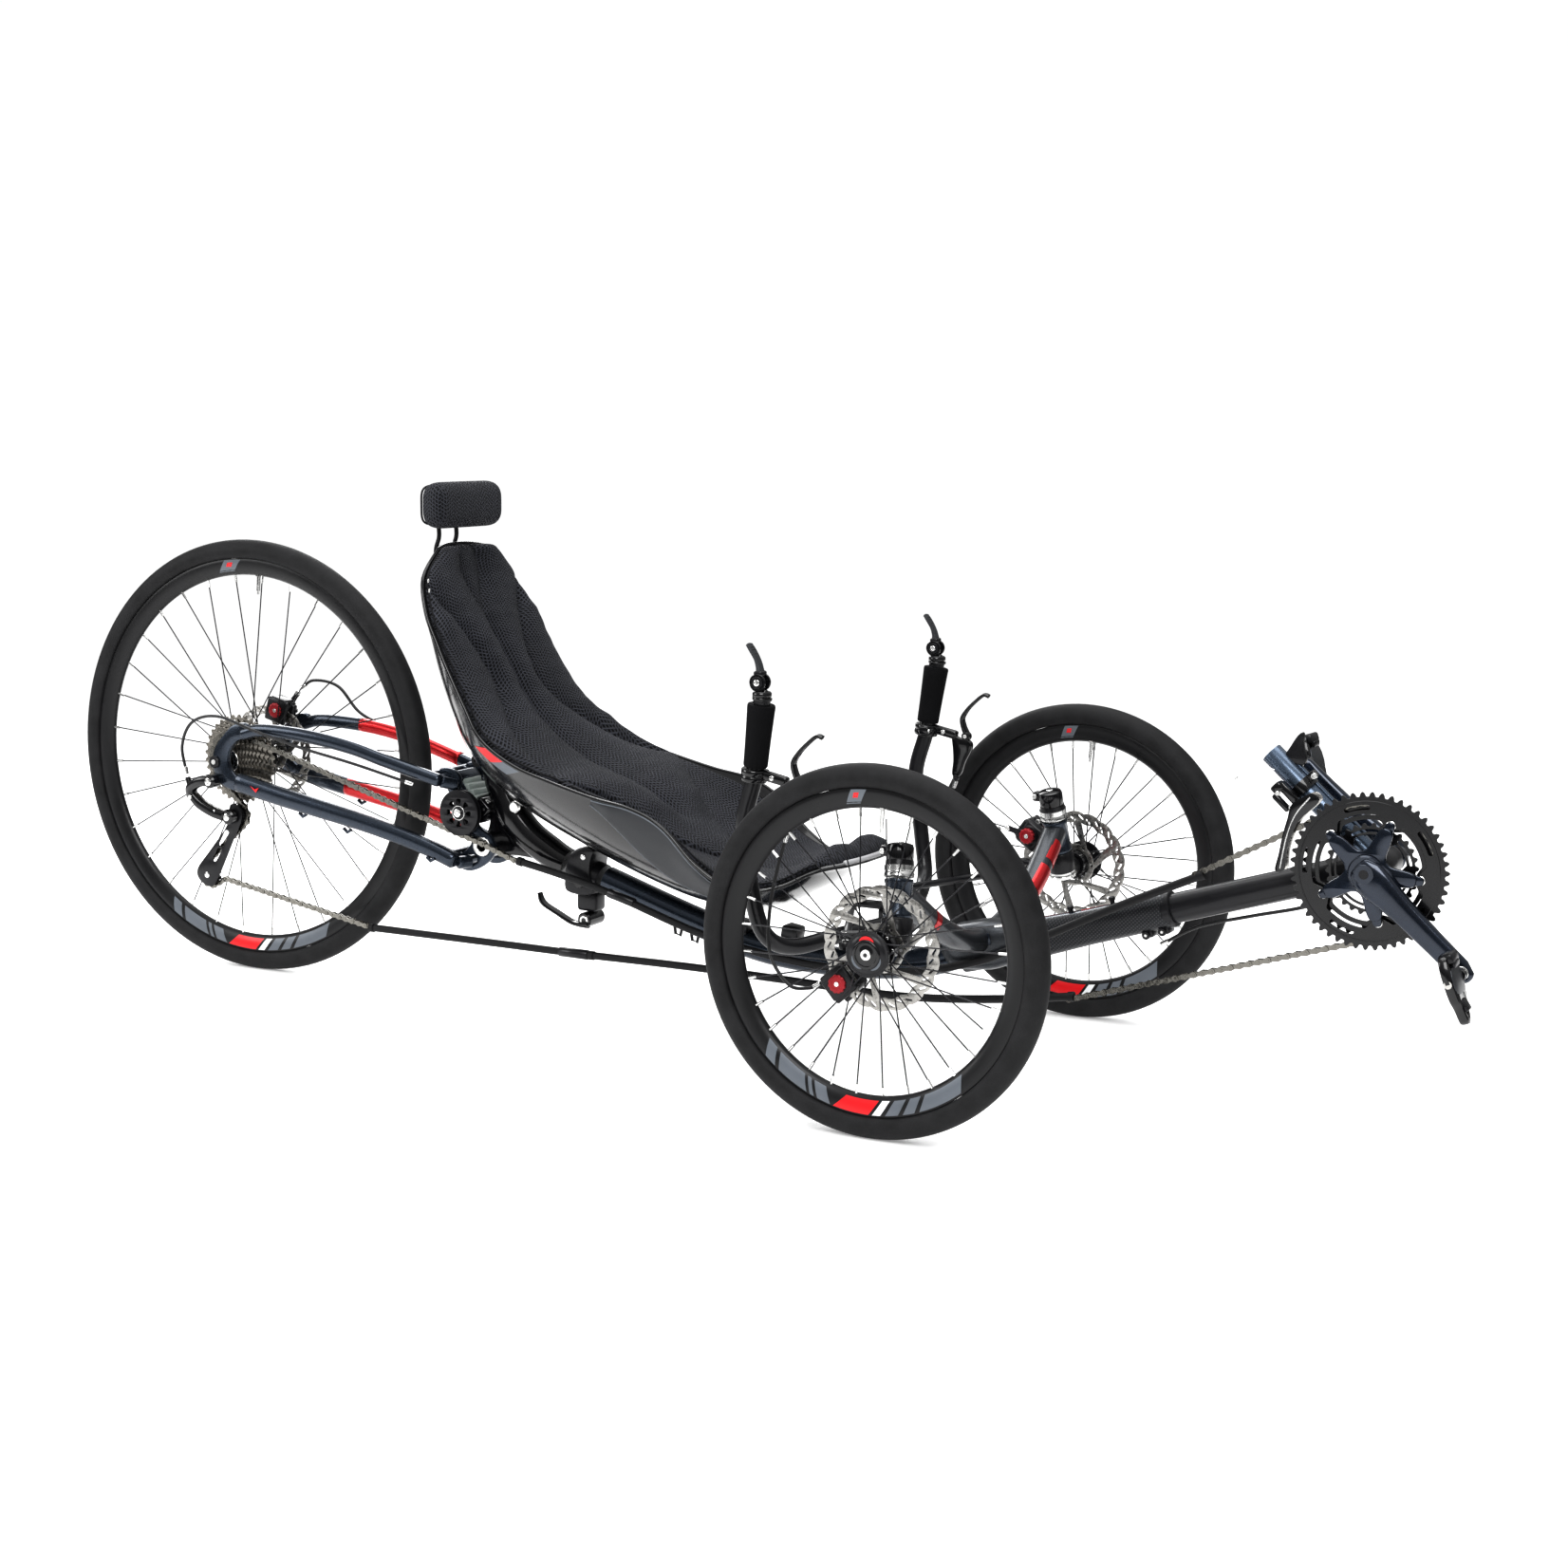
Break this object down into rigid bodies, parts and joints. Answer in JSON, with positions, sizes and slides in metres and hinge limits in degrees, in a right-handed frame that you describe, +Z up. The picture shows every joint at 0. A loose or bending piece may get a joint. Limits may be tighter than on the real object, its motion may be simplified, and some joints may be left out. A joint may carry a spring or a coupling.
{
  "type": "recumbent tricycle",
  "caption": "Adult recumbent tricycle with twin steered front wheels, a sprung driven rear wheel, bucket seat, pedals on a long boom and upright side grips.",
  "frame": {"origin": "on the ground, under the middle of the bounding box", "axes": "+X forward, +Y to the rider's left, +Z up; the wheels stand on z = 0"},
  "size_m": [2.2951, 0.748, 0.787],
  "materials": {
    "boom": "black satin anodised",
    "brake_lever_left": "gloss",
    "brake_lever_right": "gloss",
    "cable_brake_left": "satin",
    "cable_brake_right": "satin",
    "cable_front_shift": "satin",
    "cable_rear_brake": "satin",
    "cable_rear_shift": "satin",
    "caliper_arm_left": "black satin anodised",
    "caliper_arm_right": "black satin anodised",
    "caliper_left": "black satin anodised",
    "caliper_right": "black satin anodised",
    "cassette": "brushed",
    "chain_front": "brushed",
    "chain_rear": "brushed",
    "chainrings": "black satin anodised",
    "crank_left": "dark blue gloss anodised",
    "crank_right": "dark blue gloss anodised",
    "fold_clamp": "black satin anodised",
    "fold_lever": "black satin anodised",
    "front_derailleur": "brushed",
    "front_left_rotor": "brushed",
    "front_left_tyre": "matt rubber",
    "front_left_wheel": "black satin anodised",
    "front_right_rotor": "brushed",
    "front_right_tyre": "matt rubber",
    "front_right_wheel": "black satin anodised",
    "grip_left": "matt",
    "grip_right": "matt",
    "handlebar": "black satin anodised",
    "headrest_pad": "woven mesh",
    "headrest_posts": "brushed",
    "idler_pulley": "satin",
    "jockey_wheel_lower": "satin",
    "jockey_wheel_upper": "satin",
    "knuckle_left": "black satin anodised",
    "knuckle_right": "black satin anodised",
    "lever_mount_left": "gloss",
    "lever_mount_right": "gloss",
    "main_frame": "graphite metallic paint",
    "pedal_left": "gloss",
    "pedal_right": "gloss",
    "rear_caliper": "black satin anodised",
    "rear_caliper_arm": "black satin anodised",
    "rear_derailleur": "black satin anodised",
    "rear_frame": "graphite metallic paint",
    "rear_rotor": "brushed",
    "rear_tyre": "matt rubber",
    "rear_wheel": "black satin anodised",
    "return_tube_front": "satin",
    "return_tube_rear": "satin",
    "seat_cushion": "woven mesh",
    "seat_shell": "gloss",
    "shift_lever_left": "satin",
    "shift_lever_right": "satin",
    "suspension_elastomer": "translucent grey",
    "swingarm": "graphite metallic paint",
    "tie_rod_left": "black satin anodised",
    "tie_rod_right": "black satin anodised",
    "upper_chain_tube": "satin"
  },
  "bodies": {
    "frame": {"main_frame": "main_frame", "boom": "boom", "rear_frame": "rear_frame", "fold_clamp": "fold_clamp", "seat_shell": "seat_shell", "seat_cushion": "seat_cushion", "front_derailleur": "front_derailleur", "upper_chain_tube": "upper_chain_tube", "chain_front": "chain_front", "return_tube_front": "return_tube_front", "suspension_elastomer": "suspension_elastomer", "cable_front_shift": "cable_front_shift", "cable_brake_left": "cable_brake_left", "cable_brake_right": "cable_brake_right"},
    "fold_lever": {"fold_lever": "fold_lever"},
    "headrest_posts": {"headrest_posts": "headrest_posts"},
    "headrest_pad": {"headrest_pad": "headrest_pad"},
    "handlebar": {"handlebar": "handlebar", "grip_left": "grip_left", "grip_right": "grip_right", "lever_mount_left": "lever_mount_left", "lever_mount_right": "lever_mount_right"},
    "knuckle_right": {"knuckle_right": "knuckle_right", "caliper_right": "caliper_right"},
    "knuckle_left": {"knuckle_left": "knuckle_left", "caliper_left": "caliper_left"},
    "tie_rod_right": {"tie_rod_right": "tie_rod_right"},
    "tie_rod_left": {"tie_rod_left": "tie_rod_left"},
    "brake_lever_right": {"brake_lever_right": "brake_lever_right"},
    "brake_lever_left": {"brake_lever_left": "brake_lever_left"},
    "caliper_arm_right": {"caliper_arm_right": "caliper_arm_right"},
    "caliper_arm_left": {"caliper_arm_left": "caliper_arm_left"},
    "rear_caliper_arm": {"rear_caliper_arm": "rear_caliper_arm"},
    "shift_lever_right": {"shift_lever_right": "shift_lever_right"},
    "shift_lever_left": {"shift_lever_left": "shift_lever_left"},
    "front_right_wheel": {"front_right_tyre": "front_right_tyre", "front_right_wheel": "front_right_wheel", "front_right_rotor": "front_right_rotor"},
    "front_left_wheel": {"front_left_tyre": "front_left_tyre", "front_left_wheel": "front_left_wheel", "front_left_rotor": "front_left_rotor"},
    "swingarm": {"swingarm": "swingarm", "chain_rear": "chain_rear", "rear_derailleur": "rear_derailleur", "rear_caliper": "rear_caliper", "cable_rear_shift": "cable_rear_shift", "cable_rear_brake": "cable_rear_brake"},
    "rear_wheel": {"rear_tyre": "rear_tyre", "rear_wheel": "rear_wheel", "rear_rotor": "rear_rotor"},
    "cassette": {"cassette": "cassette"},
    "return_tube_rear": {"return_tube_rear": "return_tube_rear"},
    "idler_pulley": {"idler_pulley": "idler_pulley"},
    "jockey_wheel_upper": {"jockey_wheel_upper": "jockey_wheel_upper"},
    "jockey_wheel_lower": {"jockey_wheel_lower": "jockey_wheel_lower"},
    "crank": {"crank_right": "crank_right", "crank_left": "crank_left", "chainrings": "chainrings"},
    "pedal_right": {"pedal_right": "pedal_right"},
    "pedal_left": {"pedal_left": "pedal_left"}
  },
  "joints": [
    {"name": "steer", "type": "hinge", "parent": "frame", "child": "handlebar", "pos_m": [0.3335, 0, 0.2], "axis": [0, 0, 1], "range_deg": [-18, 18], "deforming": ["cable_brake_left", "cable_brake_right"]},
    {"name": "kingpin_right", "type": "hinge", "parent": "frame", "child": "knuckle_right", "pos_m": [0.46289, -0.28384, 0.236], "axis": [-0.0842, 0.25, 0.9646], "range_deg": [-18, 18]},
    {"name": "tie_rod_right_pivot", "type": "hinge", "parent": "handlebar", "child": "tie_rod_right", "pos_m": [0.2685, -0.012, 0.226], "axis": [0.0499, 0.0227, 0.9985], "range_deg": [-18, 18]},
    {"name": "wheel_right_spin", "type": "hinge", "parent": "knuckle_right", "child": "front_right_wheel", "pos_m": [0.4635, -0.3565, 0.2355], "axis": [0, 1, 0], "continuous": true},
    {"name": "brake_lever_right_pull", "type": "hinge", "parent": "handlebar", "child": "brake_lever_right", "pos_m": [0.314, -0.268, 0.423], "axis": [0, -1, 0], "range_deg": [0, 17], "stiffness_Nm_per_rad": 1.2, "springref_deg": -6.88},
    {"name": "caliper_arm_right_turn", "type": "hinge", "parent": "knuckle_right", "child": "caliper_arm_right", "pos_m": [0.40851, -0.2974, 0.18598], "axis": [0, 1, 0], "range_deg": [0, 12]},
    {"name": "shift_lever_right_turn", "type": "hinge", "parent": "handlebar", "child": "shift_lever_right", "pos_m": [0.2595, -0.272, 0.55], "axis": [0, 1, 0], "range_deg": [-25, 25]},
    {"name": "kingpin_left", "type": "hinge", "parent": "frame", "child": "knuckle_left", "pos_m": [0.46289, 0.28384, 0.236], "axis": [-0.0842, -0.25, 0.9646], "range_deg": [-18, 18]},
    {"name": "tie_rod_left_pivot", "type": "hinge", "parent": "handlebar", "child": "tie_rod_left", "pos_m": [0.2685, 0.012, 0.226], "axis": [0.0499, -0.0227, 0.9985], "range_deg": [-18, 18]},
    {"name": "wheel_left_spin", "type": "hinge", "parent": "knuckle_left", "child": "front_left_wheel", "pos_m": [0.4635, 0.3565, 0.2355], "axis": [0, 1, 0], "continuous": true},
    {"name": "brake_lever_left_pull", "type": "hinge", "parent": "handlebar", "child": "brake_lever_left", "pos_m": [0.314, 0.268, 0.423], "axis": [0, -1, 0], "range_deg": [0, 17], "stiffness_Nm_per_rad": 1.2, "springref_deg": -6.88},
    {"name": "caliper_arm_left_turn", "type": "hinge", "parent": "knuckle_left", "child": "caliper_arm_left", "pos_m": [0.40288, 0.2974, 0.27794], "axis": [0, 1, 0], "range_deg": [0, 12]},
    {"name": "shift_lever_left_turn", "type": "hinge", "parent": "handlebar", "child": "shift_lever_left", "pos_m": [0.2595, 0.272, 0.55], "axis": [0, 1, 0], "range_deg": [-25, 25]},
    {"name": "rear_caliper_arm_turn", "type": "hinge", "parent": "swingarm", "child": "rear_caliper_arm", "pos_m": [-0.78435, 0.0631, 0.41548], "axis": [0, 1, 0], "range_deg": [0, 12], "stiffness_Nm_per_rad": 0.3, "springref_deg": -5.73},
    {"name": "suspension", "type": "hinge", "parent": "frame", "child": "swingarm", "pos_m": [-0.3375, 0, 0.2465], "axis": [0, 1, 0], "range_deg": [0, 5], "stiffness_Nm_per_rad": 2000, "springref_deg": -1.72, "deforming": ["suspension_elastomer"]},
    {"name": "return_tube_hinge", "type": "hinge", "parent": "frame", "child": "return_tube_rear", "pos_m": [-0.1455, -0.045, 0.103], "axis": [0, 1, 0], "range_deg": [0, 4]},
    {"name": "rear_wheel_spin", "type": "hinge", "parent": "swingarm", "child": "rear_wheel", "pos_m": [-0.8035, 0, 0.344], "axis": [0, 1, 0], "continuous": true},
    {"name": "cassette_spin", "type": "hinge", "parent": "swingarm", "child": "cassette", "pos_m": [-0.8035, 0, 0.344], "axis": [0, 1, 0], "continuous": true},
    {"name": "idler_spin", "type": "hinge", "parent": "swingarm", "child": "idler_pulley", "pos_m": [-0.3715, -0.045, 0.296], "axis": [0, 1, 0], "continuous": true},
    {"name": "jockey_upper_spin", "type": "hinge", "parent": "swingarm", "child": "jockey_wheel_upper", "pos_m": [-0.7985, -0.045, 0.256], "axis": [0, 1, 0], "continuous": true},
    {"name": "jockey_lower_spin", "type": "hinge", "parent": "swingarm", "child": "jockey_wheel_lower", "pos_m": [-0.8565, -0.045, 0.156], "axis": [0, 1, 0], "continuous": true},
    {"name": "crank_spin", "type": "hinge", "parent": "frame", "child": "crank", "pos_m": [0.9955, 0, 0.338], "axis": [0, 1, 0], "continuous": true},
    {"name": "pedal_right_spin", "type": "hinge", "parent": "crank", "child": "pedal_right", "pos_m": [1.12003, 0, 0.22975], "axis": [0, 1, 0], "continuous": true},
    {"name": "pedal_left_spin", "type": "hinge", "parent": "crank", "child": "pedal_left", "pos_m": [0.87097, 0, 0.44625], "axis": [0, 1, 0], "continuous": true},
    {"name": "fold_lever_turn", "type": "hinge", "parent": "frame", "child": "fold_lever", "pos_m": [-0.1695, 0, 0.148], "axis": [0, -1, 0], "range_deg": [0, 110]},
    {"name": "headrest_slide", "type": "slide", "parent": "frame", "child": "headrest_posts", "axis": [0, 0, 1], "range_m": [0, 0.03]},
    {"name": "headrest_tilt", "type": "hinge", "parent": "headrest_posts", "child": "headrest_pad", "pos_m": [-0.4225, 0, 0.743], "axis": [0, 1, 0], "range_deg": [-10, 10]}
  ],
  "couplings": [
    {"joint": "kingpin_right", "follows": "steer", "ratio": 1},
    {"joint": "kingpin_left", "follows": "steer", "ratio": 1},
    {"joint": "tie_rod_right_pivot", "follows": "steer", "ratio": -1},
    {"joint": "tie_rod_left_pivot", "follows": "steer", "ratio": -1},
    {"joint": "caliper_arm_right_turn", "follows": "brake_lever_right_pull", "ratio": 0.6},
    {"joint": "caliper_arm_left_turn", "follows": "brake_lever_left_pull", "ratio": 0.6},
    {"joint": "return_tube_hinge", "follows": "suspension", "ratio": 0.73},
    {"joint": "cassette_spin", "follows": "crank_spin", "ratio": 2},
    {"joint": "idler_spin", "follows": "crank_spin", "ratio": -2.5},
    {"joint": "jockey_upper_spin", "follows": "crank_spin", "ratio": -3.636},
    {"joint": "jockey_lower_spin", "follows": "crank_spin", "ratio": 3.636}
  ]
}
